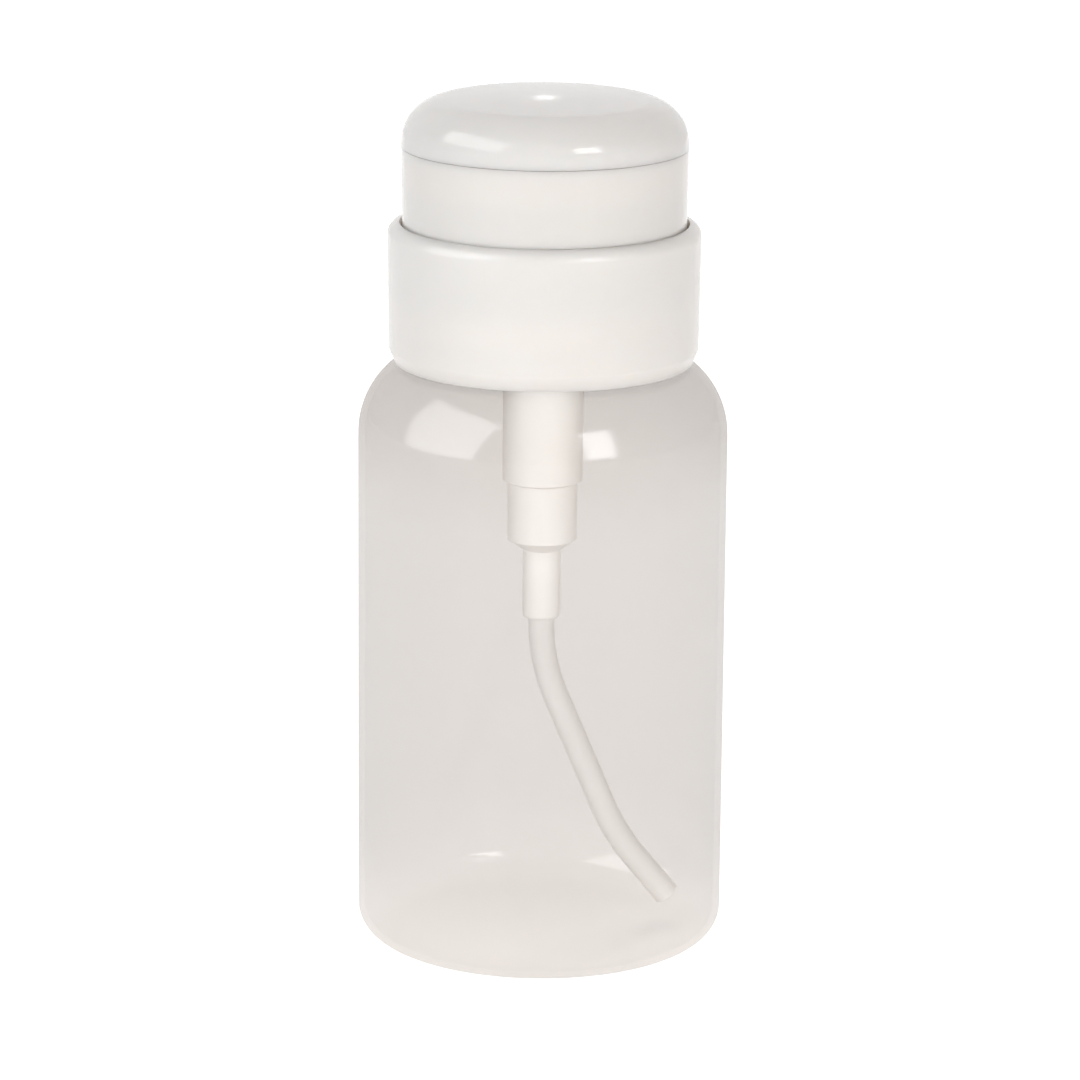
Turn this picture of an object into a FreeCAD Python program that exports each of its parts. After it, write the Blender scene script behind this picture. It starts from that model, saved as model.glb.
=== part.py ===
# Press-top oil dispenser bottle: every moulded, wound or turned piece is a body of its own.
# Lengths are millimetres. Z is up, the bottle stands on Z = 0 and its front faces -Y.
import FreeCAD
import Part
import Sketcher
import collections
import math
import os
import re

SIZES = {
    # Blown bottle
    "bottle_diameter": 56.0,
    "bottle_wall": 1.0,
    "base_corner_radius": 4.5,
    "standing_ring_width": 3.0,
    "base_push_up": 2.2,
    "shoulder_height": 89.8,
    "shoulder_corner_drop": 5.3,
    "shoulder_ledge": 2.95,
    "shoulder_lower_share": 0.73,
    "shoulder_upper_share": 0.25,
    "neck_diameter": 39.7,
    "neck_wall": 2.0,
    "neck_height": 7.2,
    # Gasket and screw collar
    "gasket_thickness": 1.0,
    "gasket_inset": 0.2,
    "collar_foot_gap": 0.5,
    "collar_foot_wall": 1.35,
    "collar_chamfer_width": 0.825,
    "collar_chamfer_height": 2.1,
    "collar_draft": 0.25,
    "collar_rim_wall": 1.825,
    "collar_chamfer_round": 1.0,
    "collar_rim_round": 1.8,
    "collar_thread_depth": 1.35,
    "collar_web": 1.6,
    "collar_web_hole": 17.8,
    # Pump housing, guide and tube
    "flange_thickness": 1.2,
    "flange_inset": 0.25,
    "cylinder_bore": 10.0,
    "cylinder_wall": 1.1,
    "cylinder_drop": 26.2,
    "chamber_bore": 8.4,
    "chamber_drop": 9.3,
    "bore_step": 0.8,
    "cylinder_cone": 1.7,
    "nipple_diameter": 5.8,
    "nipple_length": 10.8,
    "nipple_round": 0.7,
    "inlet_bore": 2.0,
    "inlet_seat_rise": 2.0,
    "vent_diameter": 1.0,
    "vent_drop": 4.0,
    "guide_rim_diameter": 17.2,
    "guide_tube_length": 4.5,
    "tube_diameter": 4.0,
    "tube_bore": 2.6,
    "tube_grip": 8.0,
    "tube_lead": 0.9,
    "tube_bend_drop": 7.0,
    "tube_knee_height": 14.5,
    "tube_knee_reach": 12.05,
    "tube_tip_height": 4.3,
    "tube_tip_reach": 20.3,
    "tube_knee_radius": 36.0,
    "tube_azimuth": 12.0,
    # Valve balls, cage and spring
    "inlet_ball_diameter": 4.5,
    "inlet_ball_lift": 1.2,
    "cage_bore": 5.5,
    "cage_roof": 1.3,
    "cage_port_diameter": 1.4,
    "cage_port_circle": 3.8,
    "outlet_ball_diameter": 3.0,
    "outlet_ball_lift": 1.0,
    "spring_wire": 0.8,
    "spring_mean_diameter": 6.6,
    "spring_turns": 7.0,
    # Plunger
    "stem_diameter": 6.4,
    "stem_bore": 2.0,
    "stem_collar_diameter": 8.6,
    "stem_collar_height": 1.2,
    "valve_bore": 3.8,
    "rod_diameter": 3.8,
    "rod_bore": 1.8,
    "rod_grip": 3.5,
    "rod_flange_diameter": 7.8,
    "rod_flange_height": 1.3,
    "rod_tail_diameter": 4.8,
    "rod_tail_length": 3.2,
    "piston_length": 4.9,
    "piston_sleeve": 0.9,
    "piston_lip": 0.65,
    # Press dish and its nozzle
    "press_stroke": 8.0,
    "foot_clearance": 0.3,
    "skirt_overlap": 2.3,
    "dish_show": 11.5,
    "dish_draft": 0.15,
    "dish_wall": 1.4,
    "lip_wall": 1.2,
    "lip_height": 1.4,
    "bowl_depth": 5.9,
    "bowl_slope": 1.6,
    "bowl_well_diameter": 12.0,
    "bowl_round": 3.0,
    "boss_wall": 1.4,
    "nozzle_plug_diameter": 4.4,
    "nozzle_tip_diameter": 3.2,
    "nozzle_tip_length": 0.7,
    "nozzle_cap_diameter": 8.0,
    "nozzle_cap_edge": 0.55,
    "nozzle_cap_height": 1.4,
    "nozzle_port_diameter": 0.7,
    "nozzle_port_circle": 2.3,
    # Flip lid and hinge
    "parting_gap": 0.08,
    "lid_height": 7.6,
    "lid_step": 0.05,
    "lid_wall": 1.2,
    "lid_edge_round": 6.5,
    "lid_crown_radius": 230.0,
    "hinge_barrel_diameter": 2.5,
    "hinge_setback": 0.25,
    "knuckle_width": 6.0,
    "lug_width": 2.4,
    "lug_gap": 0.3,
    "lug_depth": 3.0,
    "knuckle_arm_rise": 2.4,
    "pin_diameter": 1.6,
    # Fits
    "sliding_gap": 0.25,
    "running_fit": 0.08,
    "press_fit": 0.03,
    "seat_gap": 0.05,
}

LEVELS = {
    "bottle_radius": "bottle_diameter / 2",
    "standing_ring": "bottle_radius - base_corner_radius - standing_ring_width",
    "neck_radius": "neck_diameter / 2",
    "shoulder_corner": "shoulder_height - shoulder_corner_drop",
    "shoulder_break": "neck_radius + shoulder_ledge",
    "shoulder_inset": "bottle_radius - shoulder_break",
    "shoulder_slope": "sqrt(shoulder_inset ^ 2 + shoulder_corner_drop ^ 2)",
    "shoulder_turn": "atan(shoulder_inset / shoulder_corner_drop)",
    "shoulder_lower_radius": "shoulder_lower_share * shoulder_slope / tan(shoulder_turn / 2)",
    "shoulder_upper_radius": "shoulder_upper_share * shoulder_slope / tan((90 deg - shoulder_turn) / 2)",
    "neck_bore": "neck_radius - neck_wall",
    "neck_rim": "shoulder_height + neck_height",
    "gasket_top": "neck_rim + gasket_thickness",
    "flange_top": "gasket_top + flange_thickness",
    "web_top": "flange_top + collar_web",
    "skirt_foot": "web_top + foot_clearance + press_stroke",
    "collar_top": "skirt_foot + skirt_overlap",
    "collar_foot": "shoulder_height + collar_foot_gap",
    "thread_bore": "neck_radius + collar_thread_depth",
    "collar_foot_radius": "thread_bore + collar_foot_wall",
    "collar_low_radius": "collar_foot_radius + collar_chamfer_width",
    "collar_top_radius": "collar_low_radius + collar_draft",
    "well_bore": "collar_top_radius - collar_rim_wall",
    "dish_rim_radius": "well_bore - sliding_gap",
    "dish_foot_radius": "dish_rim_radius - dish_draft",
    "dish_rim": "collar_top + dish_show",
    "lip_top": "dish_rim + lip_height",
    "bowl_floor": "dish_rim - bowl_depth",
    "floor_under": "bowl_floor - dish_wall",
    "lid_foot": "dish_rim + parting_gap",
    "lid_top": "lid_foot + lid_height",
    "lid_radius": "dish_rim_radius + lid_step",
    "lip_radius": "lid_radius - lid_wall - sliding_gap",
    "lid_crown_centre": "lid_top - lid_crown_radius",
    "lid_edge_reach": "lid_radius - lid_edge_round",
    "lid_edge_height": "lid_crown_centre + sqrt((lid_crown_radius - lid_edge_round) ^ 2 - lid_edge_reach ^ 2)",
    "lid_edge_share": "lid_edge_reach / (lid_crown_radius - lid_edge_round)",
    "lid_edge_lift": "(lid_edge_height - lid_crown_centre) / (lid_crown_radius - lid_edge_round)",
    "hinge_height": "dish_rim + parting_gap / 2",
    "hinge_reach": "lid_radius + hinge_setback + hinge_barrel_diameter / 2",
    "cylinder_radius": "cylinder_bore / 2 + cylinder_wall",
    "chamber_radius": "chamber_bore / 2 + cylinder_wall",
    "cylinder_foot": "gasket_top - cylinder_drop",
    "chamber_foot": "cylinder_foot - chamber_drop",
    "cone_foot": "chamber_foot - cylinder_cone",
    "nipple_foot": "cone_foot - nipple_length",
    "tube_stop": "nipple_foot + tube_grip",
    "tube_top": "tube_stop - seat_gap",
    "tube_bend_height": "nipple_foot - tube_bend_drop",
    "tube_turn": "atan(tube_knee_reach / (tube_bend_height - tube_knee_height))",
    "tube_bend_radius": "(tube_bend_drop - tube_lead) / tan(tube_turn / 2)",
    "inlet_seat": "cone_foot + inlet_bore / 2",
    "chamber_floor": "inlet_seat + inlet_seat_rise",
    "inlet_ball_rest": "inlet_seat - inlet_bore / 2 + inlet_ball_diameter / 2 * sqrt(2) + seat_gap",
    "cage_ceiling": "inlet_ball_rest + inlet_ball_diameter / 2 + inlet_ball_lift + 4 * seat_gap",
    "cage_top": "cage_ceiling + cage_roof",
    "guide_foot": "flange_top - guide_tube_length",
    "stem_collar_top": "guide_foot - 2 * seat_gap",
    "stem_foot": "stem_collar_top - stem_collar_height",
    "piston_top": "stem_foot - running_fit",
    "piston_foot": "piston_top - piston_length",
    "rod_flange_top": "piston_foot - running_fit",
    "rod_flange_foot": "rod_flange_top - rod_flange_height",
    "rod_foot": "rod_flange_foot - rod_tail_length",
    "rod_top": "stem_foot + rod_grip",
    "stem_top": "floor_under - 2 * seat_gap",
    "nozzle_stop": "stem_top - nozzle_tip_length",
    "outlet_ball_rest": "nozzle_stop - 2 * seat_gap - outlet_ball_lift - outlet_ball_diameter / 2",
    "valve_apex": "outlet_ball_rest - seat_gap - outlet_ball_diameter / 2 * sqrt(2)",
    "valve_seat": "valve_apex + stem_bore / 2",
    "valve_floor": "valve_apex + valve_bore / 2",
    "boss_foot": "web_top + press_stroke + foot_clearance",
    "boss_bore": "stem_diameter / 2 + press_fit",
}

Corner = collections.namedtuple("Corner", "across up rounding edge", defaults=(None, None))

doc = FreeCAD.newDocument("press_top_bottle")
sizes = doc.addObject("Spreadsheet::Sheet", "Sizes")
levels = doc.addObject("Spreadsheet::Sheet", "Levels")


def bound(text):
    """Name the sheet that holds each word of a formula."""
    def with_sheet(found):
        word = found.group(0)
        if word in SIZES:
            return "Sizes." + word
        if word in LEVELS:
            return "Levels." + word
        return word
    return re.sub(r"[a-z_]{2,}", with_sheet, text)


def value(text):
    """The present value of a formula, for the first guess of a sketch."""
    return float(levels.evalExpression(bound(text)))


def fill_sheets():
    for row, (word, size) in enumerate(SIZES.items(), start=1):
        sizes.set("A%d" % row, word)
        sizes.set("B%d" % row, str(size))
        sizes.setAlias("B%d" % row, word)
    doc.recompute()
    for row, (word, formula) in enumerate(LEVELS.items(), start=1):
        levels.set("A%d" % row, word)
        levels.setAlias("B%d" % row, word)
    for row, (word, formula) in enumerate(LEVELS.items(), start=1):
        levels.set("B%d" % row, "=" + bound(formula).replace("Levels.", ""))
    doc.recompute()


def bind(feature, name, formula):
    feature.setExpression(name, bound(formula))


def origin_feature(body, role):
    for feature in body.Origin.OriginFeatures:
        if feature.Role == role:
            return feature
    raise ValueError(role)


def new_sketch(body, name, plane, offset=None):
    sketch = body.newObject("Sketcher::SketchObject", name)
    sketch.AttachmentSupport = [(origin_feature(body, plane), "")]
    sketch.MapMode = "FlatFace"
    if offset is not None:
        bind(sketch, "AttachmentOffset.Base.z", offset)
    doc.recompute()
    return sketch


def pin_point(sketch, shape, end, across, up):
    """Hold one point of a sketch at two bound distances from the origin."""
    for formula, kind, axis in ((across, "DistanceX", -2), (up, "DistanceY", -1)):
        distance = value(formula)
        if abs(distance) < 1e-9:
            sketch.addConstraint(Sketcher.Constraint("PointOnObject", shape, end, axis))
        else:
            index = sketch.addConstraint(Sketcher.Constraint(kind, shape, end, distance))
            bind(sketch, "Constraints[%d]" % index, formula)


def add_arc(sketch, centre, start, finish):
    """Short arc from start to finish; gives its number and the ends that meet start and finish."""
    circle = Part.Circle(centre, FreeCAD.Vector(0, 0, 1), (start - centre).Length)
    first = math.atan2(start.y - centre.y, start.x - centre.x)
    last = math.atan2(finish.y - centre.y, finish.x - centre.x)
    sweep = (last - first) % (2 * math.pi)
    if sweep <= math.pi:
        arc = Part.ArcOfCircle(circle, first, first + sweep)
        return sketch.addGeometry(arc, False), 1, 2
    arc = Part.ArcOfCircle(circle, last, last + 2 * math.pi - sweep)
    return sketch.addGeometry(arc, False), 2, 1


def edge_centre(edge, start, finish):
    """Centre of a curved outline edge: on the axis for a dome, else on the axis side of the chord."""
    if edge == "dome":
        rise = (finish.x ** 2 + finish.y ** 2) - (start.x ** 2 + start.y ** 2)
        return FreeCAD.Vector(0, rise / (2 * (finish.y - start.y)), 0)
    radius = value(edge)
    chord = finish - start
    middle = start + chord * 0.5
    reach = math.sqrt(radius ** 2 - (chord.Length / 2) ** 2)
    across = FreeCAD.Vector(-chord.y, chord.x, 0).normalize()
    candidates = [middle + across * reach, middle - across * reach]
    return min(candidates, key=lambda point: point.x)


def rounding_points(before, corner, after, radius):
    """Where a rounding leaves and meets the straight edges at a corner, and its centre."""
    inward = (corner - before).normalize()
    outward = (after - corner).normalize()
    turn = math.acos(max(-1.0, min(1.0, inward.dot(outward))))
    length = radius * math.tan(turn / 2)
    start = corner - inward * length
    finish = corner + outward * length
    middle = (start + finish) * 0.5
    centre = corner + (middle - corner).normalize() * (radius / math.cos(turn / 2))
    return start, finish, centre


def outline(body, name, plane, corners, closed=True, offset=None):
    """Sketch through bound corners; a corner may be rounded and an edge may be a dome or an arc."""
    sketch = new_sketch(body, name, plane, offset)
    count = len(corners)
    points = [FreeCAD.Vector(value(corner.across), value(corner.up), 0) for corner in corners]
    arrive = list(points)
    leave = list(points)
    centres = {}
    for number, corner in enumerate(corners):
        if corner.rounding is not None:
            radius = value(corner.rounding)
            before = points[number - 1]
            after = points[(number + 1) % count]
            found = rounding_points(before, points[number], after, radius)
            arrive[number], leave[number], centres[number] = found
    edges = []
    for number in range(count if closed else count - 1):
        start = leave[number]
        finish = arrive[(number + 1) % count]
        kind = corners[number].edge
        if kind is None:
            line = sketch.addGeometry(Part.LineSegment(start, finish), False)
            edges.append((line, 1, 2))
        else:
            edges.append(add_arc(sketch, edge_centre(kind, start, finish), start, finish))
    for number, corner in enumerate(corners):
        has_in = closed or number > 0
        has_out = closed or number < count - 1
        shape_in = edges[number - 1] if has_in else None
        shape_out = edges[number] if has_out else None
        if number in centres:
            arc, arc_start, arc_end = add_arc(sketch, centres[number], arrive[number], leave[number])
            mark = sketch.addGeometry(Part.Point(points[number]), True)
            pin_point(sketch, mark, 1, corner.across, corner.up)
            sketch.addConstraint(Sketcher.Constraint("PointOnObject", mark, 1, shape_in[0]))
            sketch.addConstraint(Sketcher.Constraint("PointOnObject", mark, 1, shape_out[0]))
            sketch.addConstraint(Sketcher.Constraint("Tangent", shape_in[0], shape_in[2], arc, arc_start))
            sketch.addConstraint(Sketcher.Constraint("Tangent", arc, arc_end, shape_out[0], shape_out[1]))
            index = sketch.addConstraint(Sketcher.Constraint("Radius", arc, value(corner.rounding)))
            bind(sketch, "Constraints[%d]" % index, corner.rounding)
            continue
        if has_in and has_out:
            meet = Sketcher.Constraint("Coincident", shape_in[0], shape_in[2], shape_out[0], shape_out[1])
            sketch.addConstraint(meet)
        if has_out:
            pin_point(sketch, shape_out[0], shape_out[1], corner.across, corner.up)
        else:
            pin_point(sketch, shape_in[0], shape_in[2], corner.across, corner.up)
    for number, edge in enumerate(edges):
        kind = corners[number].edge
        if kind == "dome":
            sketch.addConstraint(Sketcher.Constraint("PointOnObject", edge[0], 3, -2))
        elif kind is not None:
            index = sketch.addConstraint(Sketcher.Constraint("Radius", edge[0], value(kind)))
            bind(sketch, "Constraints[%d]" % index, kind)
    doc.recompute()
    return sketch


def disc(body, name, plane, across, up, diameter, offset=None):
    """Sketch of one circle."""
    sketch = new_sketch(body, name, plane, offset)
    centre = FreeCAD.Vector(value(across), value(up), 0)
    circle = Part.Circle(centre, FreeCAD.Vector(0, 0, 1), value(diameter) / 2)
    shape = sketch.addGeometry(circle, False)
    pin_point(sketch, shape, 3, across, up)
    index = sketch.addConstraint(Sketcher.Constraint("Diameter", shape, value(diameter)))
    bind(sketch, "Constraints[%d]" % index, diameter)
    doc.recompute()
    return sketch


def feature_of(body, kind, name, sketch):
    feature = body.newObject("PartDesign::" + kind, name)
    feature.Profile = sketch
    sketch.Visibility = False
    return feature


def turned(name, corners):
    """Body turned about Z from one closed outline of radii and heights."""
    body = doc.addObject("PartDesign::Body", name)
    sketch = outline(body, name + "_outline", "XZ_Plane", corners)
    turn = feature_of(body, "Revolution", name + "_turn", sketch)
    turn.ReferenceAxis = (sketch, ["V_Axis"])
    turn.Angle = 360
    doc.recompute()
    return body


def pad_across(body, name, sketch, width, symmetric):
    pad = feature_of(body, "Pad", name, sketch)
    bind(pad, "Length", width)
    if symmetric:
        pad.SideType = "Symmetric"
    doc.recompute()
    return pad


def pocket_through(body, name, sketch):
    pocket = feature_of(body, "Pocket", name, sketch)
    pocket.SideType = "Symmetric"
    pocket.Type = "ThroughAll"
    before = body.Shape.Volume
    doc.recompute()
    if body.Shape.Volume >= before:
        raise ValueError(name + " removed nothing")
    return pocket


def ring_of(body, name, feature, count):
    pattern = body.newObject("PartDesign::PolarPattern", name)
    pattern.Originals = [feature]
    pattern.Axis = (origin_feature(body, "Z_Axis"), [""])
    pattern.Angle = 360
    pattern.Occurrences = count
    body.Tip = pattern
    doc.recompute()
    return pattern


def mirrored_across(body, name, features):
    mirror = body.newObject("PartDesign::Mirrored", name)
    mirror.Originals = features
    mirror.MirrorPlane = (origin_feature(body, "YZ_Plane"), [""])
    body.Tip = mirror
    doc.recompute()
    return mirror


fill_sheets()

# Bottle: even blown wall, heavier neck, domed push-up inside a flat standing ring.
INNER_CORNER = "shoulder_corner - bottle_wall * tan(shoulder_turn / 2)"
INNER_BREAK = "shoulder_break - bottle_wall * tan((90 deg - shoulder_turn) / 2)"
bottle = turned("bottle", [
    Corner("0", "base_push_up", edge="dome"),
    Corner("standing_ring", "0"),
    Corner("bottle_radius", "0", "base_corner_radius"),
    Corner("bottle_radius", "shoulder_corner", "shoulder_lower_radius"),
    Corner("shoulder_break", "shoulder_height", "shoulder_upper_radius"),
    Corner("neck_radius", "shoulder_height"),
    Corner("neck_radius", "neck_rim"),
    Corner("neck_bore", "neck_rim"),
    Corner("neck_bore", "shoulder_height - bottle_wall"),
    Corner(INNER_BREAK, "shoulder_height - bottle_wall", "shoulder_upper_radius - bottle_wall"),
    Corner("bottle_radius - bottle_wall", INNER_CORNER, "shoulder_lower_radius - bottle_wall"),
    Corner("bottle_radius - bottle_wall", "bottle_wall", "base_corner_radius - bottle_wall"),
    Corner("standing_ring", "bottle_wall", edge="dome"),
    Corner("0", "base_push_up + bottle_wall"),
])

# Gasket: flat washer between the neck rim and the pump flange.
neck_gasket = turned("neck_gasket", [
    Corner("neck_bore + gasket_inset", "neck_rim"),
    Corner("neck_radius - gasket_inset", "neck_rim"),
    Corner("neck_radius - gasket_inset", "gasket_top"),
    Corner("neck_bore + gasket_inset", "gasket_top"),
])

# Collar: threaded socket below a web, plain well above it for the skirt of the dish.
screw_collar = turned("screw_collar", [
    Corner("thread_bore", "collar_foot"),
    Corner("collar_foot_radius", "collar_foot"),
    Corner("collar_low_radius", "collar_foot + collar_chamfer_height", "collar_chamfer_round"),
    Corner("collar_top_radius", "collar_top", "collar_rim_round"),
    Corner("well_bore", "collar_top"),
    Corner("well_bore", "web_top"),
    Corner("collar_web_hole / 2", "web_top"),
    Corner("collar_web_hole / 2", "flange_top"),
    Corner("thread_bore", "flange_top"),
])

# Pump housing: flange, stepped cylinder, ball seat and the nipple that grips the tube.
pump_housing = turned("pump_housing", [
    Corner("cylinder_bore / 2", "flange_top"),
    Corner("neck_radius - flange_inset", "flange_top"),
    Corner("neck_radius - flange_inset", "gasket_top"),
    Corner("cylinder_radius", "gasket_top"),
    Corner("cylinder_radius", "cylinder_foot"),
    Corner("chamber_radius", "cylinder_foot - bore_step / 2"),
    Corner("chamber_radius", "chamber_foot"),
    Corner("nipple_diameter / 2", "cone_foot"),
    Corner("nipple_diameter / 2", "nipple_foot", "nipple_round"),
    Corner("tube_diameter / 2 + press_fit", "nipple_foot"),
    Corner("tube_diameter / 2 + press_fit", "tube_stop"),
    Corner("inlet_bore / 2", "tube_stop"),
    Corner("inlet_bore / 2", "inlet_seat"),
    Corner("inlet_bore / 2 + inlet_seat_rise", "chamber_floor"),
    Corner("chamber_bore / 2", "chamber_floor"),
    Corner("chamber_bore / 2", "cylinder_foot - bore_step / 2"),
    Corner("cylinder_bore / 2", "cylinder_foot + bore_step / 2"),
])
vent_circle = disc(pump_housing, "vent_circle", "YZ_Plane", "0", "gasket_top - vent_drop", "vent_diameter")
pocket_through(pump_housing, "vent_holes", vent_circle)

# Guide: snaps into the housing through the collar's web and holds the stem upright.
GUIDE_BORE = "stem_diameter / 2 + running_fit"
stem_guide = turned("stem_guide", [
    Corner(GUIDE_BORE, "guide_foot"),
    Corner("cylinder_bore / 2 - press_fit", "guide_foot"),
    Corner("cylinder_bore / 2 - press_fit", "flange_top"),
    Corner("guide_rim_diameter / 2", "flange_top"),
    Corner("guide_rim_diameter / 2", "web_top"),
    Corner(GUIDE_BORE, "web_top"),
])

# Dip tube: one bent tube, swept along straight runs joined by tangent arcs.
dip_tube = doc.addObject("PartDesign::Body", "dip_tube")
tube_path = outline(dip_tube, "tube_path", "XZ_Plane", [
    Corner("0", "tube_top"),
    Corner("0", "tube_bend_height", "tube_bend_radius"),
    Corner("tube_knee_reach", "tube_knee_height", "tube_knee_radius"),
    Corner("tube_tip_reach", "tube_tip_height"),
], closed=False)
for kind, name, across in (
        ("AdditivePipe", "tube_wall", "tube_diameter"),
        ("SubtractivePipe", "tube_hole", "tube_bore")):
    section = disc(dip_tube, name + "_section", "XY_Plane", "0", "0", across, offset="tube_top")
    pipe = feature_of(dip_tube, kind, name, section)
    pipe.Spine = (tube_path, [])
    doc.recompute()
tube_path.Visibility = False
bind(dip_tube, "Placement.Rotation.Angle", "tube_azimuth")
dip_tube.Placement = FreeCAD.Placement(
    FreeCAD.Vector(0, 0, 0),
    FreeCAD.Rotation(FreeCAD.Vector(0, 0, 1), value("tube_azimuth")))

# Inlet valve: a ball over the seat, kept in by a cage that also carries the spring.
inlet_ball = doc.addObject("Part::Sphere", "inlet_ball")
bind(inlet_ball, "Radius", "inlet_ball_diameter / 2")
bind(inlet_ball, "Placement.Base.z", "inlet_ball_rest")
CAGE_RADIUS = "chamber_bore / 2 - press_fit"
ball_cage = turned("ball_cage", [
    Corner("0", "cage_ceiling"),
    Corner("cage_bore / 2", "cage_ceiling"),
    Corner("cage_bore / 2", "chamber_floor"),
    Corner(CAGE_RADIUS, "chamber_floor"),
    Corner(CAGE_RADIUS, "cage_top"),
    Corner("0", "cage_top"),
])
cage_port = disc(ball_cage, "cage_port", "XY_Plane", "cage_port_circle / 2", "0", "cage_port_diameter")
ring_of(ball_cage, "cage_ports", pocket_through(ball_cage, "cage_port_cut", cage_port), 4)

# Plunger: piston between the rod's flange and the stem, rod pressed up into the stem.
PISTON_REACH = "cylinder_bore / 2 - seat_gap"
PISTON_BORE = "rod_diameter / 2 + running_fit"
PISTON_SLEEVE = "rod_diameter / 2 + running_fit + piston_sleeve"
PISTON_MIDDLE = "piston_foot + piston_length / 2"
piston = turned("piston", [
    Corner(PISTON_BORE, "piston_foot"),
    Corner(PISTON_SLEEVE, "piston_foot"),
    Corner(PISTON_SLEEVE, PISTON_MIDDLE + " - piston_lip"),
    Corner(PISTON_REACH + " - 1.6 * piston_lip", PISTON_MIDDLE + " - piston_lip"),
    Corner(PISTON_REACH + " - piston_lip", "piston_foot + piston_lip"),
    Corner(PISTON_REACH, "piston_foot + piston_lip"),
    Corner(PISTON_REACH + " - piston_lip / 2", PISTON_MIDDLE + " - piston_lip / 2"),
    Corner(PISTON_REACH + " - piston_lip / 2", PISTON_MIDDLE + " + piston_lip / 2"),
    Corner(PISTON_REACH, "piston_top - piston_lip"),
    Corner(PISTON_REACH + " - piston_lip", "piston_top - piston_lip"),
    Corner(PISTON_REACH + " - 1.6 * piston_lip", PISTON_MIDDLE + " + piston_lip"),
    Corner(PISTON_SLEEVE, PISTON_MIDDLE + " + piston_lip"),
    Corner(PISTON_SLEEVE, "piston_top"),
    Corner(PISTON_BORE, "piston_top"),
])
piston_rod = turned("piston_rod", [
    Corner("rod_bore / 2", "rod_foot"),
    Corner("rod_tail_diameter / 2", "rod_foot"),
    Corner("rod_tail_diameter / 2", "rod_flange_foot"),
    Corner("rod_flange_diameter / 2", "rod_flange_foot"),
    Corner("rod_flange_diameter / 2", "rod_flange_top"),
    Corner("rod_diameter / 2", "rod_flange_top"),
    Corner("rod_diameter / 2", "rod_top"),
    Corner("rod_bore / 2", "rod_top"),
])
stem = turned("stem", [
    Corner("rod_diameter / 2 + press_fit", "stem_foot"),
    Corner("stem_collar_diameter / 2", "stem_foot"),
    Corner("stem_collar_diameter / 2", "stem_collar_top"),
    Corner("stem_diameter / 2", "stem_collar_top"),
    Corner("stem_diameter / 2", "stem_top"),
    Corner("valve_bore / 2", "stem_top"),
    Corner("valve_bore / 2", "valve_floor"),
    Corner("stem_bore / 2", "valve_seat"),
    Corner("stem_bore / 2", "rod_top + seat_gap"),
    Corner("rod_diameter / 2 + press_fit", "rod_top + seat_gap"),
])

# Outlet valve: a ball in the head of the stem, under a ported nozzle.
outlet_ball = doc.addObject("Part::Sphere", "outlet_ball")
bind(outlet_ball, "Radius", "outlet_ball_diameter / 2")
bind(outlet_ball, "Placement.Base.z", "outlet_ball_rest")
NOZZLE_PLUG = "nozzle_plug_diameter / 2 - press_fit"
outlet_nozzle = turned("outlet_nozzle", [
    Corner("0", "nozzle_stop"),
    Corner("nozzle_tip_diameter / 2", "nozzle_stop"),
    Corner("nozzle_tip_diameter / 2", "stem_top + seat_gap"),
    Corner(NOZZLE_PLUG, "stem_top + seat_gap"),
    Corner(NOZZLE_PLUG, "bowl_floor"),
    Corner("nozzle_cap_diameter / 2", "bowl_floor"),
    Corner("nozzle_cap_diameter / 2", "bowl_floor + nozzle_cap_edge", edge="dome"),
    Corner("0", "bowl_floor + nozzle_cap_height"),
])
nozzle_port = disc(outlet_nozzle, "nozzle_port", "XY_Plane", "nozzle_port_circle / 2", "0",
                   "nozzle_port_diameter")
ring_of(outlet_nozzle, "nozzle_ports", pocket_through(outlet_nozzle, "nozzle_port_cut", nozzle_port), 4)

# Press dish: skirt that slides in the collar, bowl that fills with oil, lip that takes the lid.
LIP_INSIDE = "lip_radius - lip_wall"
SKIRT_INSIDE = "dish_foot_radius - dish_wall"
BOSS_RADIUS = "boss_bore + boss_wall"
press_dish = turned("press_dish", [
    Corner("boss_bore", "boss_foot"),
    Corner(BOSS_RADIUS, "boss_foot"),
    Corner(BOSS_RADIUS, "floor_under"),
    Corner("bowl_well_diameter / 2", "floor_under"),
    Corner(SKIRT_INSIDE, "floor_under + bowl_slope"),
    Corner(SKIRT_INSIDE, "skirt_foot"),
    Corner("dish_foot_radius", "skirt_foot"),
    Corner("dish_rim_radius", "dish_rim"),
    Corner("lip_radius", "dish_rim"),
    Corner("lip_radius", "lip_top"),
    Corner(LIP_INSIDE, "lip_top"),
    Corner(LIP_INSIDE, "bowl_floor + bowl_slope", "bowl_round"),
    Corner("bowl_well_diameter / 2", "bowl_floor"),
    Corner("nozzle_plug_diameter / 2", "bowl_floor"),
    Corner("nozzle_plug_diameter / 2", "floor_under"),
    Corner("boss_bore", "floor_under"),
])
LUG_START = "knuckle_width / 2 + lug_gap"
LUG_ROOT = "lid_radius - dish_wall"
lug_web = outline(press_dish, "lug_web_outline", "YZ_Plane", [
    Corner(LUG_ROOT, "dish_rim - seat_gap"),
    Corner(LUG_ROOT, "dish_rim - lug_depth"),
    Corner("hinge_reach", "hinge_height - hinge_barrel_diameter / 2"),
    Corner("hinge_reach", "dish_rim - seat_gap"),
], offset=LUG_START)
lug_barrel = disc(press_dish, "lug_barrel_outline", "YZ_Plane", "hinge_reach", "hinge_height",
                  "hinge_barrel_diameter", offset=LUG_START)
lug_parts = [
    pad_across(press_dish, "lug_web", lug_web, "lug_width", False),
    pad_across(press_dish, "lug_barrel", lug_barrel, "lug_width", False),
]
mirrored_across(press_dish, "second_lug", lug_parts)
lug_bore = disc(press_dish, "lug_bore_outline", "YZ_Plane", "hinge_reach", "hinge_height",
                "pin_diameter + 2 * press_fit")
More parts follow.
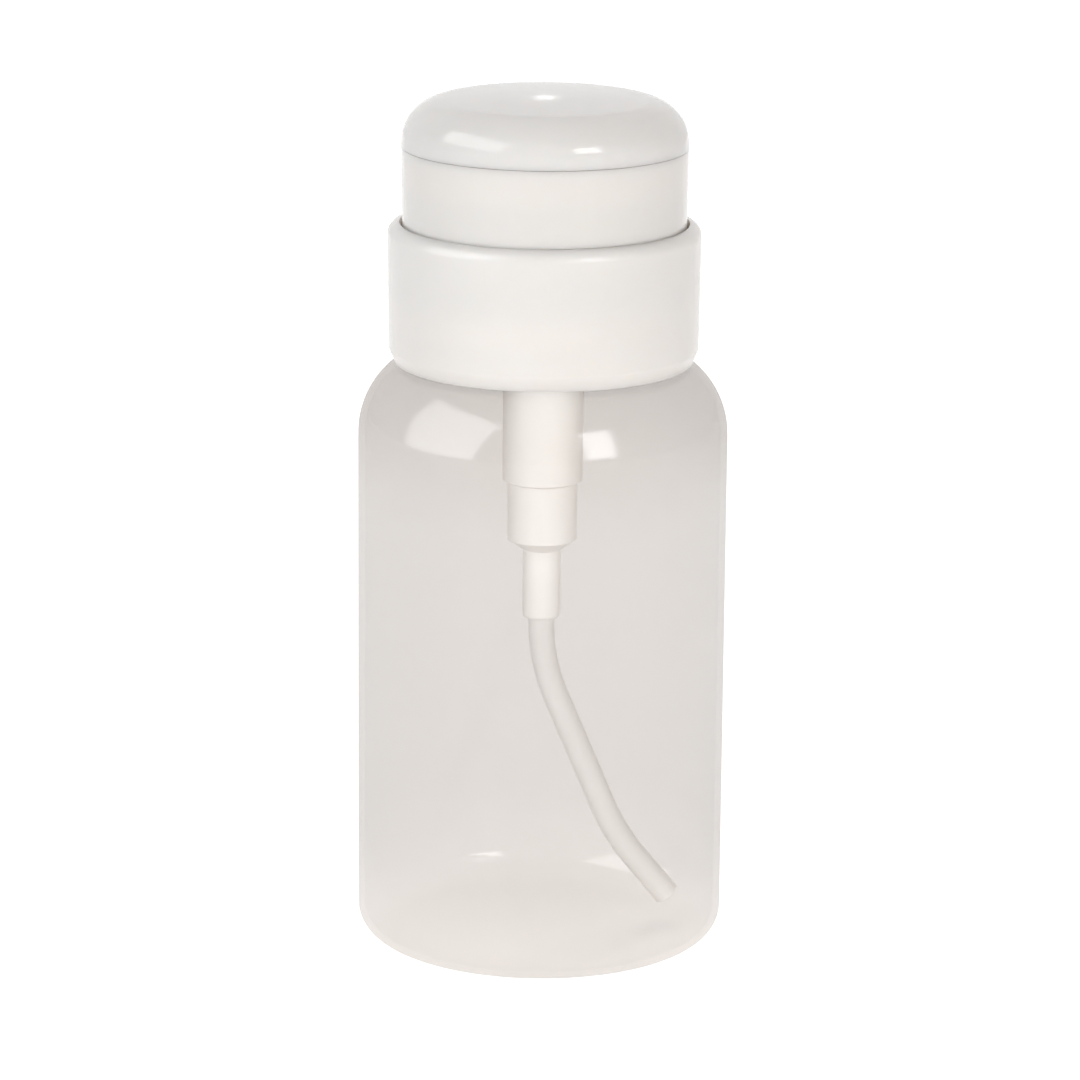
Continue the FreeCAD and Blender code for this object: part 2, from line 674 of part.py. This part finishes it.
press_dish.Tip = pocket_through(press_dish, "lug_bore", lug_bore)

# Flip lid: thin shell with a softly crowned top, hinged on a knuckle between the two lugs.
lid_edge = {}
for side, depth in (("outer", "0"), ("inner", "lid_wall")):
    reach = "(lid_crown_radius - %s) * lid_edge_share" % depth
    height = "lid_crown_centre + (lid_crown_radius - %s) * lid_edge_lift" % depth
    lid_edge[side] = (reach, height)
flip_lid = turned("flip_lid", [
    Corner("0", "lid_top", edge="dome"),
    Corner(*lid_edge["outer"], edge="lid_edge_round"),
    Corner("lid_radius", "lid_edge_height"),
    Corner("lid_radius", "lid_foot"),
    Corner("lid_radius - lid_wall", "lid_foot"),
    Corner("lid_radius - lid_wall", "lid_edge_height", edge="lid_edge_round - lid_wall"),
    Corner(*lid_edge["inner"], edge="dome"),
    Corner("0", "lid_top - lid_wall"),
])
KNUCKLE_ROOT = "lid_radius - lid_wall / 2"
knuckle_arm = outline(flip_lid, "knuckle_arm_outline", "YZ_Plane", [
    Corner(KNUCKLE_ROOT, "lid_foot + seat_gap"),
    Corner("hinge_reach", "lid_foot + seat_gap"),
    Corner("hinge_reach", "hinge_height + hinge_barrel_diameter / 2"),
    Corner(KNUCKLE_ROOT, "hinge_height + knuckle_arm_rise"),
])
pad_across(flip_lid, "knuckle_arm", knuckle_arm, "knuckle_width", True)
knuckle_barrel = disc(flip_lid, "knuckle_barrel_outline", "YZ_Plane", "hinge_reach", "hinge_height",
                      "hinge_barrel_diameter")
pad_across(flip_lid, "knuckle_barrel", knuckle_barrel, "knuckle_width", True)
knuckle_bore = disc(flip_lid, "knuckle_bore_outline", "YZ_Plane", "hinge_reach", "hinge_height",
                    "pin_diameter + 2 * running_fit")
pocket_through(flip_lid, "knuckle_bore", knuckle_bore)

# Hinge pin: pressed into both lugs, free in the knuckle.
hinge_pin = doc.addObject("PartDesign::Body", "hinge_pin")
pin_circle = disc(hinge_pin, "pin_circle", "YZ_Plane", "hinge_reach", "hinge_height", "pin_diameter")
pad_across(hinge_pin, "pin_length", pin_circle, "knuckle_width + 2 * (lug_gap + lug_width)", True)


def arc_through(start, along, finish):
    """Circular edge that leaves start along a direction and ends at finish."""
    chord = finish - start
    direction = chord / chord.Length
    sideways = along - direction * along.dot(direction)
    half_turn = math.acos(max(-1.0, min(1.0, along.dot(direction))))
    sag = chord.Length / 2 * math.tan(half_turn / 2)
    middle = start + chord * 0.5 + sideways / sideways.Length * sag
    return Part.Arc(start, middle, finish).toShape()


def biarc(start, start_along, finish, finish_along):
    """Two tangent arcs between two points with given directions."""
    chord = finish - start
    both = start_along + finish_along
    square = 2 * (1 - start_along.dot(finish_along))
    lean = chord.dot(both)
    reach = (-lean + math.sqrt(lean ** 2 + square * chord.dot(chord))) / square
    joint = (start + start_along * reach + finish - finish_along * reach) * 0.5
    first = arc_through(start, start_along, joint)
    second_back = arc_through(finish, finish_along * -1, joint)
    second = Part.Arc(joint, second_back.valueAt(
        (second_back.FirstParameter + second_back.LastParameter) / 2), finish).toShape()
    return [first, second]


def spring_point(turned_by):
    """Point and direction of the spring's centre line after some quarter turns; end turns lie close."""
    radius = value("spring_mean_diameter") / 2
    wire = value("spring_wire")
    low = value("cage_top") + wire / 2 + value("seat_gap")
    high = value("rod_flange_foot") - wire / 2 - value("seat_gap")
    rise_per_turn = (high - low) / value("spring_turns")
    angle = math.pi / 2 * turned_by
    height = low + rise_per_turn * turned_by / 4
    point = FreeCAD.Vector(radius * math.cos(angle), radius * math.sin(angle), height)
    along = FreeCAD.Vector(-radius * math.sin(angle), radius * math.cos(angle),
                           rise_per_turn / (2 * math.pi))
    return point, along.normalize()


# Return spring: one unbroken round wire swept along quarter-turn arcs.
spring_edges = []
spring_quarters = int(round(value("spring_turns") * 4))
for quarter in range(spring_quarters):
    spring_edges.extend(biarc(*spring_point(quarter), *spring_point(quarter + 1)))
spring_path = Part.Wire(spring_edges)
wire_start, wire_along = spring_point(0)
wire_circle = Part.Wire(Part.Circle(wire_start, wire_along, value("spring_wire") / 2).toShape())
return_spring = doc.addObject("Part::Feature", "return_spring")
return_spring.Shape = spring_path.makePipeShell([wire_circle], True, False)
return_spring.Placement = FreeCAD.Placement()


def least_self_gap(path, wire):
    """Least clear distance between neighbouring turns, measured on points along the centre line."""
    per_turn = 48
    points = path.discretize(Number=int(value("spring_turns") * per_turn) + 1)
    least = float("inf")
    for number, point in enumerate(points):
        for other in points[number + per_turn // 2:]:
            least = min(least, point.distanceToPoint(other))
    return least - wire


doc.recompute()
print("spring least self gap %.3f mm" % least_self_gap(spring_path, value("spring_wire")))

PIECES = [
    bottle, neck_gasket, screw_collar, pump_housing, stem_guide, dip_tube, inlet_ball, ball_cage,
    return_spring, piston, piston_rod, stem, outlet_ball, outlet_nozzle, press_dish, flip_lid, hinge_pin,
]
for item in doc.Objects:
    if "Invalid" in item.State or "Error" in item.State:
        raise ValueError("%s did not compute: %s" % (item.Label, item.State))
os.makedirs("parts", exist_ok=True)
for piece in PIECES:
    shape = piece.Shape
    if shape.isNull() or not shape.isValid() or len(shape.Solids) != 1:
        raise ValueError("%s is not one valid solid" % piece.Label)
    shape.exportStep(os.path.join("parts", piece.Label + ".step"))
    box = shape.BoundBox
    print("%-14s %9.1f mm3  z %.2f to %.2f" % (piece.Label, shape.Volume, box.ZMin, box.ZMax))
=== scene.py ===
"""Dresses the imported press-top oil bottle: plastics, threads, studio light and the photo's camera."""
import math

import bpy
from mathutils import Matrix, Vector


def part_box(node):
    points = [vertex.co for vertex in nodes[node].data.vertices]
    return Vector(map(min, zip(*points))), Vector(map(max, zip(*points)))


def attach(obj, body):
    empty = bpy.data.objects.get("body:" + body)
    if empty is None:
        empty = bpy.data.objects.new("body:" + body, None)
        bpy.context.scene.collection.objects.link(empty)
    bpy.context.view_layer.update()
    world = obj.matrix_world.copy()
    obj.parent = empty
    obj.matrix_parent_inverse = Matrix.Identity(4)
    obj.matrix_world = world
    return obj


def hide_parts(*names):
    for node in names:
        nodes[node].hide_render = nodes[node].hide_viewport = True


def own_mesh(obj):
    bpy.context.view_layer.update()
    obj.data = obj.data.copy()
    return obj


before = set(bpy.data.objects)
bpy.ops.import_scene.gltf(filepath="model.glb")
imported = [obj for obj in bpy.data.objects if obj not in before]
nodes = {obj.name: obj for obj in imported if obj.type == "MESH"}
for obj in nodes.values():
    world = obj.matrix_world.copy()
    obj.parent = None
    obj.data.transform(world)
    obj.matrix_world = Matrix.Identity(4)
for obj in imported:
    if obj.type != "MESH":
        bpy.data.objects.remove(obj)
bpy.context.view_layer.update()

MM = 0.001

# Camera, solved from the bottle's outline in the photo
CAMERA_DISTANCE = 760 * MM
CAMERA_ELEVATION = math.radians(14.43)
CAMERA_LENS = 166.1
CAMERA_SENSOR = 36.0
CAMERA_TARGET = Vector((-0.30 * MM, 0, 62.1 * MM))
CAMERA_ROLL = math.radians(0.48)

# Neck and collar threads, drawn here because the solids leave them out
THREAD_PITCH = 4.23 * MM
THREAD_TURNS = 1.15
THREAD_HEIGHT = 1.0 * MM
THREAD_BASE_WIDTH = 1.7 * MM
THREAD_CREST_WIDTH = 0.7 * MM
THREAD_STEPS_PER_TURN = 96
THREAD_RUNOUT = 0.12
THREAD_LEAST_TAPER = 0.05
THREAD_SINK = 0.05 * MM
THREAD_RISE = 0.4 * MM
GASKET_INSET = 0.2 * MM
COLLAR_THREAD_DEPTH = 1.35 * MM

# Grain of the moulded surfaces
PLASTIC_IOR = 1.5
GRAIN_DEPTH = 0.05 * MM
GLOSS_SPREAD = 0.15
MILKY_RADIUS = (1.0, 0.9, 0.8)
MILKY_DEPTH = 3.0 * MM
CLOUD_SCALE = 60.0
GRAIN_SCALE = 2600.0
GRAIN_DETAIL = 2.0

# Grain of the steel and pits of the foam
STEEL_GRAIN_SCALE = 1800.0
STEEL_GRAIN_DETAIL = 4.0
STEEL_DARK = 0.9
STEEL_GLOSS_SPREAD = 0.3
FOAM_ROUGHNESS = 0.85
FOAM_PIT_SCALE = 4200.0
FOAM_PIT_DETAIL = 5.0
# How much darker the pits are painted, as shade
FOAM_PIT_SHADE = 0.92
FOAM_PIT_STRENGTH = 0.4
FOAM_PIT_DEPTH = 0.1 * MM

# Bottle wall: haze, and how its noise varies it
WALL_COLOUR = (0.355, 0.282, 0.226)
WALL_HAZE = 0.30
WALL_INNER_HAZE = 0.02
WALL_ROUGHNESS = 0.13
WALL_MIDDLE = (0, 0, 45 * MM)
WALL_CLOUD_SCALE = 45.0
WALL_GRAIN_SCALE = 2200.0
WALL_GRAIN = 0.04
WALL_MOTTLE = 0.04
HAZE_ROUGHNESS = 0.6
# Share of light mirrored by the bottle's surface
GLOSS_SQUARE_ON = 0.062
GLOSS_EDGE_ON = 0.16
GLOSS_EDGE_POWER = 5.0
INNER_GLOSS_SHARE = 0.2
# The foot's corner is thicker and milkier than the wall; its lighter haze colour there is also painted
# light for what that corner bends and mirrors
FOOT_LIGHTER_TO = 3 * MM
FOOT_PLAIN_FROM = 18 * MM
FOOT_MILKY_AND_PAINTED_LIGHT_COLOUR = (0.60, 0.52, 0.45)
# The wall is hazier, so darker, from the shoulder up
SHOULDER_PLAIN_TO = 66 * MM
SHOULDER_HAZIER_FROM = 84 * MM
SHOULDER_HAZE = 1.3
# Lamp light that scatters on through one face of the bottle's wall
LIGHT_PASSED = (0.995, 0.99, 0.985)

# Stage
FLOOR_SIZE = 40.0
FLOOR_GAP = 0.05 * MM
FLOOR_GLOW = 0.88
FLOOR_SHADE = 0.45
FLOOR_BOUNCE = 0.9
WORLD_LIGHT = 0.296
LAMP_AIM = Vector((0, 0, 80 * MM))


def new_material(name):
    material = bpy.data.materials.new(name)
    material.use_nodes = True
    tree = material.node_tree
    tree.nodes.clear()
    output = tree.nodes.new("ShaderNodeOutputMaterial")
    return material, tree, output


def noise(tree, scale, detail=3.0):
    """Noise in the row frame, so that its grain has a real size."""
    place = tree.nodes.new("ShaderNodeTexCoord")
    texture = tree.nodes.new("ShaderNodeTexNoise")
    texture.inputs["Scale"].default_value = scale
    texture.inputs["Detail"].default_value = detail
    tree.links.new(place.outputs["Object"], texture.inputs["Vector"])
    return texture.outputs["Fac"]


def ramp(tree, factor, low, high):
    """Maps a grey value onto a range; the high end is a number or a socket."""
    node = tree.nodes.new("ShaderNodeMapRange")
    node.inputs["To Min"].default_value = low
    if isinstance(high, (int, float)):
        node.inputs["To Max"].default_value = high
    else:
        tree.links.new(high, node.inputs["To Max"])
    tree.links.new(factor, node.inputs["Value"])
    return node.outputs["Result"]


def tint(tree, factor, dark, light):
    """Mixes two close colours by a grey value; the light one is a colour or a socket."""
    node = tree.nodes.new("ShaderNodeMix")
    node.data_type = "RGBA"
    node.inputs["A"].default_value = (*dark, 1)
    if isinstance(light, bpy.types.NodeSocket):
        tree.links.new(light, node.inputs["B"])
    else:
        node.inputs["B"].default_value = (*light, 1)
    tree.links.new(factor, node.inputs["Factor"])
    return node.outputs["Result"]


def grain_bump(tree, height, strength, distance):
    """Normal of a surface raised a little by a grey value."""
    bump = tree.nodes.new("ShaderNodeBump")
    bump.inputs["Strength"].default_value = strength
    bump.inputs["Distance"].default_value = distance
    tree.links.new(height, bump.inputs["Height"])
    return bump.outputs["Normal"]


def varied(tree, factor, value, spread):
    """A number that a grey value moves up and down by a share."""
    return ramp(tree, factor, value * (1 - spread), value * (1 + spread))


def plastic(name, colour, roughness, grain=0.05, mottle=0.03, milky=0.0):
    """Moulded plastic with a fine satin grain; milky is how much light wanders inside it."""
    material, tree, output = new_material(name)
    shader = tree.nodes.new("ShaderNodeBsdfPrincipled")
    shader.inputs["IOR"].default_value = PLASTIC_IOR
    cloud = noise(tree, CLOUD_SCALE)
    fine = noise(tree, GRAIN_SCALE, GRAIN_DETAIL)
    dark = [channel * (1 - mottle) for channel in colour]
    light = [min(1.0, channel * (1 + mottle)) for channel in colour]
    tree.links.new(tint(tree, cloud, dark, light), shader.inputs["Base Color"])
    tree.links.new(varied(tree, fine, roughness, GLOSS_SPREAD), shader.inputs["Roughness"])
    tree.links.new(grain_bump(tree, fine, grain, GRAIN_DEPTH), shader.inputs["Normal"])
    if milky > 0:
        shader.inputs["Subsurface Weight"].default_value = milky
        shader.inputs["Subsurface Radius"].default_value = MILKY_RADIUS
        shader.inputs["Subsurface Scale"].default_value = MILKY_DEPTH
    tree.links.new(shader.outputs["BSDF"], output.inputs["Surface"])
    return material


def math_node(tree, operation, first, second):
    node = tree.nodes.new("ShaderNodeMath")
    node.operation = operation
    for socket, value in zip(node.inputs, (first, second)):
        if isinstance(value, (int, float)):
            socket.default_value = value
        else:
            tree.links.new(value, socket)
    return node.outputs["Value"]


def mix_shaders(tree, factor, first, second):
    mix = tree.nodes.new("ShaderNodeMixShader")
    tree.links.new(factor, mix.inputs["Fac"])
    tree.links.new(first, mix.inputs[1])
    tree.links.new(second, mix.inputs[2])
    return mix.outputs["Shader"]


def outer_side(tree, middle):
    """1 on faces that look away from the hollow's middle, 0 on faces that look into it."""
    place = tree.nodes.new("ShaderNodeTexCoord")
    away = tree.nodes.new("ShaderNodeVectorMath")
    away.operation = "SUBTRACT"
    away.inputs[1].default_value = middle
    tree.links.new(place.outputs["Object"], away.inputs[0])
    along = tree.nodes.new("ShaderNodeVectorMath")
    along.operation = "DOT_PRODUCT"
    tree.links.new(away.outputs["Vector"], along.inputs[0])
    tree.links.new(place.outputs["Normal"], along.inputs[1])
    face = tree.nodes.new("ShaderNodeNewGeometry")
    turned = ramp(tree, face.outputs["Backfacing"], 1.0, -1.0)
    outward = math_node(tree, "MULTIPLY", along.outputs["Value"], turned)
    return math_node(tree, "GREATER_THAN", outward, 0.0)


def height_share(tree, low, high):
    """0 below one height of the row frame, 1 above another."""
    place = tree.nodes.new("ShaderNodeTexCoord")
    split = tree.nodes.new("ShaderNodeSeparateXYZ")
    tree.links.new(place.outputs["Object"], split.inputs["Vector"])
    share = tree.nodes.new("ShaderNodeMapRange")
    share.interpolation_type = "SMOOTHSTEP"
    share.inputs["From Min"].default_value = low
    share.inputs["From Max"].default_value = high
    tree.links.new(split.outputs["Z"], share.inputs["Value"])
    return share.outputs["Result"]


def hazy_wall(name):
    """Thin translucent wall: warm haze over what lies behind it, under a clear gloss."""
    material, tree, output = new_material(name)
    cloud = noise(tree, WALL_CLOUD_SCALE)
    fine = noise(tree, WALL_GRAIN_SCALE, GRAIN_DETAIL)
    outer = outer_side(tree, WALL_MIDDLE)

    body = tree.nodes.new("ShaderNodeBsdfPrincipled")
    body.inputs["Specular IOR Level"].default_value = 0.0
    body.inputs["Roughness"].default_value = HAZE_ROUGHNESS
    dark = [channel * (1 - WALL_MOTTLE) for channel in WALL_COLOUR]
    light = [channel * (1 + WALL_MOTTLE) for channel in WALL_COLOUR]
    # Lighter haze colour towards the foot: milkier plastic, and painted light for the corner
    foot_light = height_share(tree, FOOT_LIGHTER_TO, FOOT_PLAIN_FROM)
    colour = tint(tree, foot_light, FOOT_MILKY_AND_PAINTED_LIGHT_COLOUR, tint(tree, cloud, dark, light))
    tree.links.new(colour, body.inputs["Base Color"])

    clear = tree.nodes.new("ShaderNodeBsdfTransparent")
    # More haze from the shoulder up, which darkens it
    shoulder = height_share(tree, SHOULDER_PLAIN_TO, SHOULDER_HAZIER_FROM)
    upper_haze = ramp(tree, shoulder, WALL_HAZE, WALL_HAZE * SHOULDER_HAZE)
    haze = ramp(tree, outer, WALL_INNER_HAZE, upper_haze)
    wall = mix_shaders(tree, haze, clear.outputs["BSDF"], body.outputs["BSDF"])

    gloss = tree.nodes.new("ShaderNodeBsdfGlossy")
    tree.links.new(varied(tree, fine, WALL_ROUGHNESS, GLOSS_SPREAD), gloss.inputs["Roughness"])
    tree.links.new(grain_bump(tree, fine, WALL_GRAIN, GRAIN_DEPTH), gloss.inputs["Normal"])
    facing = tree.nodes.new("ShaderNodeLayerWeight")
    facing.inputs["Blend"].default_value = 0.5
    edge = math_node(tree, "POWER", facing.outputs["Facing"], GLOSS_EDGE_POWER)
    shine = math_node(tree, "MULTIPLY", ramp(tree, edge, GLOSS_SQUARE_ON, GLOSS_EDGE_ON),
                      ramp(tree, outer, INNER_GLOSS_SHARE, 1.0))
    coat = mix_shaders(tree, shine, wall, gloss.outputs["BSDF"])

    path = tree.nodes.new("ShaderNodeLightPath")
    passed = tree.nodes.new("ShaderNodeBsdfTransparent")
    passed.inputs["Color"].default_value = (*LIGHT_PASSED, 1)
    lit = mix_shaders(tree, path.outputs["Is Shadow Ray"], coat, passed.outputs["BSDF"])
    tree.links.new(lit, output.inputs["Surface"])
    return material


def steel(name, colour, roughness):
    """Drawn or polished steel with a faint change of gloss."""
    material, tree, output = new_material(name)
    shader = tree.nodes.new("ShaderNodeBsdfPrincipled")
    shader.inputs["Metallic"].default_value = 1.0
    fine = noise(tree, STEEL_GRAIN_SCALE, STEEL_GRAIN_DETAIL)
    dark = [channel * STEEL_DARK for channel in colour]
    tree.links.new(tint(tree, fine, dark, colour), shader.inputs["Base Color"])
    tree.links.new(varied(tree, fine, roughness, STEEL_GLOSS_SPREAD), shader.inputs["Roughness"])
    tree.links.new(shader.outputs["BSDF"], output.inputs["Surface"])
    return material


def foam(name, colour):
    """Closed-cell washer with a fine pitted face, the pits painted a little darker as shade in them."""
    material, tree, output = new_material(name)
    shader = tree.nodes.new("ShaderNodeBsdfPrincipled")
    shader.inputs["Roughness"].default_value = FOAM_ROUGHNESS
    pits = noise(tree, FOAM_PIT_SCALE, FOAM_PIT_DETAIL)
    dark = [channel * FOAM_PIT_SHADE for channel in colour]
    # Painted shade: the low spots of the pits are darker
    tree.links.new(tint(tree, pits, dark, colour), shader.inputs["Base Color"])
    tree.links.new(grain_bump(tree, pits, FOAM_PIT_STRENGTH, FOAM_PIT_DEPTH), shader.inputs["Normal"])
    tree.links.new(shader.outputs["BSDF"], output.inputs["Surface"])
    return material


def dress(material, *names):
    for name in names:
        mesh = nodes[name].data
        mesh.materials.clear()
        mesh.materials.append(material)


bottle_plastic = hazy_wall("bottle_plastic")
collar_plastic = plastic("collar_plastic", (0.85, 0.815, 0.782), 0.24, grain=0.025, milky=0.7)
dish_plastic = plastic("dish_plastic", (0.822, 0.786, 0.75), 0.14, grain=0.012, milky=0.7)
# The lid is the dish's plastic in a lighter copy: painted light on its dimly lit top
lid_plastic_painted_light = plastic("lid_plastic_painted_light", (0.869, 0.825, 0.787), 0.10, grain=0.01, milky=0.7)
pump_plastic = plastic("pump_plastic", (0.97, 0.96, 0.945), 0.42)
piston_plastic = plastic("piston_plastic", (0.80, 0.80, 0.78), 0.5)
tube_plastic = plastic("tube_plastic", (0.91, 0.905, 0.885), 0.35, milky=0.3)
gasket_foam = foam("gasket_foam", (0.88, 0.88, 0.86))
spring_steel = steel("spring_steel", (0.60, 0.60, 0.61), 0.32)
ball_steel = steel("ball_steel", (0.70, 0.70, 0.71), 0.10)

dress(bottle_plastic, "bottle")
dress(collar_plastic, "screw_collar")
dress(dish_plastic, "press_dish")
dress(lid_plastic_painted_light, "flip_lid")
dress(pump_plastic, "pump_housing", "stem_guide", "ball_cage", "piston_rod", "stem", "outlet_nozzle",
      "hinge_pin")
dress(piston_plastic, "piston")
dress(tube_plastic, "dip_tube")
dress(gasket_foam, "neck_gasket")
dress(spring_steel, "return_spring")
dress(ball_steel, "inlet_ball", "outlet_ball")


def thread_ridge(name, root, crest, start_height, material):
    """Helical ridge of trapezoid section, tapered almost to nothing at both ends."""
    steps = int(THREAD_TURNS * THREAD_STEPS_PER_TURN)
    points = []
    faces = []
    for step in range(steps + 1):
        share = step / steps
        taper = min(1.0, share / THREAD_RUNOUT, (1 - share) / THREAD_RUNOUT)
        angle = 2 * math.pi * THREAD_TURNS * share
        middle = start_height + THREAD_PITCH * THREAD_TURNS * share
        tip = root + (crest - root) * max(taper, THREAD_LEAST_TAPER)
        section = (
            (root, -THREAD_BASE_WIDTH / 2), (tip, -THREAD_CREST_WIDTH / 2),
            (tip, THREAD_CREST_WIDTH / 2), (root, THREAD_BASE_WIDTH / 2))
        for radius, rise in section:
            points.append((radius * math.cos(angle), radius * math.sin(angle), middle + rise))
        if step > 0:
            first = 4 * (step - 1)
            for side in range(4):
                after = (side + 1) % 4
                faces.append((first + side, first + after, first + 4 + after, first + 4 + side))
    faces.append((3, 2, 1, 0))
    last = 4 * steps
    faces.append((last, last + 1, last + 2, last + 3))
    mesh = bpy.data.meshes.new(name)
    mesh.from_pydata(points, [], faces)
    mesh.validate()
    mesh.materials.append(material)
    piece = bpy.data.objects.new(name, mesh)
    bpy.context.collection.objects.link(piece)
    return piece


neck_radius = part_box("neck_gasket")[1].x + GASKET_INSET
thread_bore = neck_radius + COLLAR_THREAD_DEPTH
thread_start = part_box("screw_collar")[0].z + THREAD_RISE
neck_thread = thread_ridge("neck_thread", neck_radius - THREAD_SINK, neck_radius + THREAD_HEIGHT,
                           thread_start, bottle_plastic)
collar_thread = thread_ridge("collar_thread", thread_bore + THREAD_SINK, thread_bore - THREAD_HEIGHT,
                             thread_start + THREAD_PITCH / 2, collar_plastic)
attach(neck_thread, "bottle")
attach(collar_thread, "collar")

# The spring shortens with the press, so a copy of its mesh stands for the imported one
spring_coil = bpy.data.objects.new("spring_coil", nodes["return_spring"].data.copy())
bpy.context.collection.objects.link(spring_coil)
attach(spring_coil, "pump")
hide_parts("return_spring")
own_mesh(spring_coil)


def white_ground(tree, lit, glow):
    """White for the camera and in gloss and glass; a plainer light for what bounces."""
    path = tree.nodes.new("ShaderNodeLightPath")
    seen = path.outputs["Is Camera Ray"]
    for kind in ("Is Glossy Ray", "Is Transmission Ray"):
        seen = math_node(tree, "MAXIMUM", seen, path.outputs[kind])
    return mix_shaders(tree, seen, lit, glow)


material, tree, output = new_material("floor_white")
bounce = tree.nodes.new("ShaderNodeBsdfDiffuse")
bounce.inputs["Color"].default_value = (FLOOR_BOUNCE, FLOOR_BOUNCE, FLOOR_BOUNCE, 1)
shade = tree.nodes.new("ShaderNodeBsdfDiffuse")
shade.inputs["Color"].default_value = (FLOOR_SHADE, FLOOR_SHADE, FLOOR_SHADE, 1)
glow = tree.nodes.new("ShaderNodeEmission")
glow.inputs["Strength"].default_value = FLOOR_GLOW
both = tree.nodes.new("ShaderNodeAddShader")
tree.links.new(shade.outputs["BSDF"], both.inputs[0])
tree.links.new(glow.outputs["Emission"], both.inputs[1])
tree.links.new(white_ground(tree, bounce.outputs["BSDF"], both.outputs["Shader"]),
               output.inputs["Surface"])
bpy.ops.mesh.primitive_plane_add(size=FLOOR_SIZE, location=(0, 0, -FLOOR_GAP))
floor = bpy.context.object
floor.name = "floor"
floor.data.materials.append(material)

world = bpy.data.worlds.new("studio")
bpy.context.scene.world = world
world.use_nodes = True
tree = world.node_tree
tree.nodes.clear()
output = tree.nodes.new("ShaderNodeOutputWorld")
fill = tree.nodes.new("ShaderNodeBackground")
fill.inputs["Color"].default_value = (1, 1, 1, 1)
fill.inputs["Strength"].default_value = WORLD_LIGHT
white = tree.nodes.new("ShaderNodeBackground")
white.inputs["Color"].default_value = (1, 1, 1, 1)
white.inputs["Strength"].default_value = 1.0
tree.links.new(white_ground(tree, fill.outputs["Background"], white.outputs["Background"]),
               output.inputs["Surface"])


def studio_lamp(name, azimuth, elevation, distance, width, height, radiance, mirrored=True, matt=True,
                tone=(1, 1, 1)):
    """Soft rectangular lamp, seen in gloss, on matt faces or both; azimuth runs from front to right."""
    turn = math.radians(azimuth)
    rise = math.radians(elevation)
    way = Vector((math.sin(turn) * math.cos(rise), -math.cos(turn) * math.cos(rise), math.sin(rise)))
    data = bpy.data.lights.new(name, "AREA")
    data.shape = "RECTANGLE"
    data.size = width
    data.size_y = height
    data.energy = radiance * math.pi * width * height
    data.color = tone
    lamp = bpy.data.objects.new(name, data)
    bpy.context.collection.objects.link(lamp)
    lamp.location = LAMP_AIM + distance * way
    lamp.rotation_euler = (LAMP_AIM - lamp.location).to_track_quat("-Z", "Y").to_euler()
    lamp.visible_camera = False
    lamp.visible_glossy = mirrored
    lamp.visible_diffuse = matt
    return lamp


def light_only(lamp, *names):
    """Limits a lamp to the named nodes: it lights nothing else, and nothing else shades them from it."""
    lit = bpy.data.collections.new(lamp.name)
    for name in names:
        lit.objects.link(nodes[name])
    lamp.light_linking.receiver_collection = lit
    lamp.light_linking.blocker_collection = lit


# Each lamp: azimuth and elevation in degrees, then distance, width and height in metres, and radiance

# Softboxes, which only gloss shows
all_but_lid = [name for name in nodes if name != "flip_lid"]
softbox_left = studio_lamp("softbox_left", -68, 25, 1.10, 1.10, 1.05, 2.9, matt=False)
light_only(softbox_left, *all_but_lid)
softbox_right = studio_lamp("softbox_right", 36, 21, 1.00, 0.34, 0.60, 5.4, matt=False)
light_only(softbox_right, *all_but_lid)
# The lid's own are higher, to glare less on its flat top in low views from the far side
lid_left = studio_lamp("lid_left", -68, 38, 1.10, 1.10, 0.50, 2.9, matt=False)
light_only(lid_left, "flip_lid")
lid_right = studio_lamp("lid_right", 36, 31, 1.00, 0.34, 0.22, 6.0, matt=False)
light_only(lid_right, "flip_lid")
# Makes the streak at the rear of the lid's top
rear_spark = studio_lamp("rear_spark", 180, 12.4, 1.40, 0.014, 0.014, 4.5, matt=False)
light_only(rear_spark, "flip_lid")

# Fills, which light matt faces and don't show in gloss
studio_lamp("left_fill", -65, 20, 1.10, 1.10, 0.90, 1.32, mirrored=False, tone=(0.96, 0.985, 1.0))
studio_lamp("right_fill", 42, 4, 1.20, 0.60, 0.30, 6.9, mirrored=False, tone=(1.0, 0.965, 0.93))
studio_lamp("front_fill", -2, 3, 1.40, 1.00, 0.22, 9.1, mirrored=False)
studio_lamp("rear_top", 180, 55, 1.00, 0.60, 0.40, 4.9, mirrored=False, tone=(1.0, 0.94, 0.91))
studio_lamp("rear_fill", 168, 8, 1.40, 1.00, 0.40, 3.2, mirrored=False)
# Extra light for the pump and the tube, which the other fills leave too dark behind the haze
inner_fill = studio_lamp("inner_fill", -2, 3, 1.40, 1.00, 0.22, 5.7, mirrored=False)
light_only(inner_fill, "pump_housing", "dip_tube")
collar_glow = studio_lamp("collar_glow", 0, 26.6, 0.0447, 0.030, 0.010, 6.5, mirrored=False)
light_only(collar_glow, "pump_housing")

camera_data = bpy.data.cameras.new("camera")
camera_data.lens = CAMERA_LENS
camera_data.sensor_width = CAMERA_SENSOR
camera = bpy.data.objects.new("camera", camera_data)
bpy.context.collection.objects.link(camera)
camera.location = CAMERA_TARGET + Vector((
    0, -CAMERA_DISTANCE * math.cos(CAMERA_ELEVATION), CAMERA_DISTANCE * math.sin(CAMERA_ELEVATION)))
look = (CAMERA_TARGET - camera.location).to_track_quat("-Z", "Y").to_matrix()
camera.rotation_euler = (look @ Matrix.Rotation(CAMERA_ROLL, 3, "Z")).to_euler()
bpy.context.scene.camera = camera
bpy.context.scene.view_settings.view_transform = "Standard"
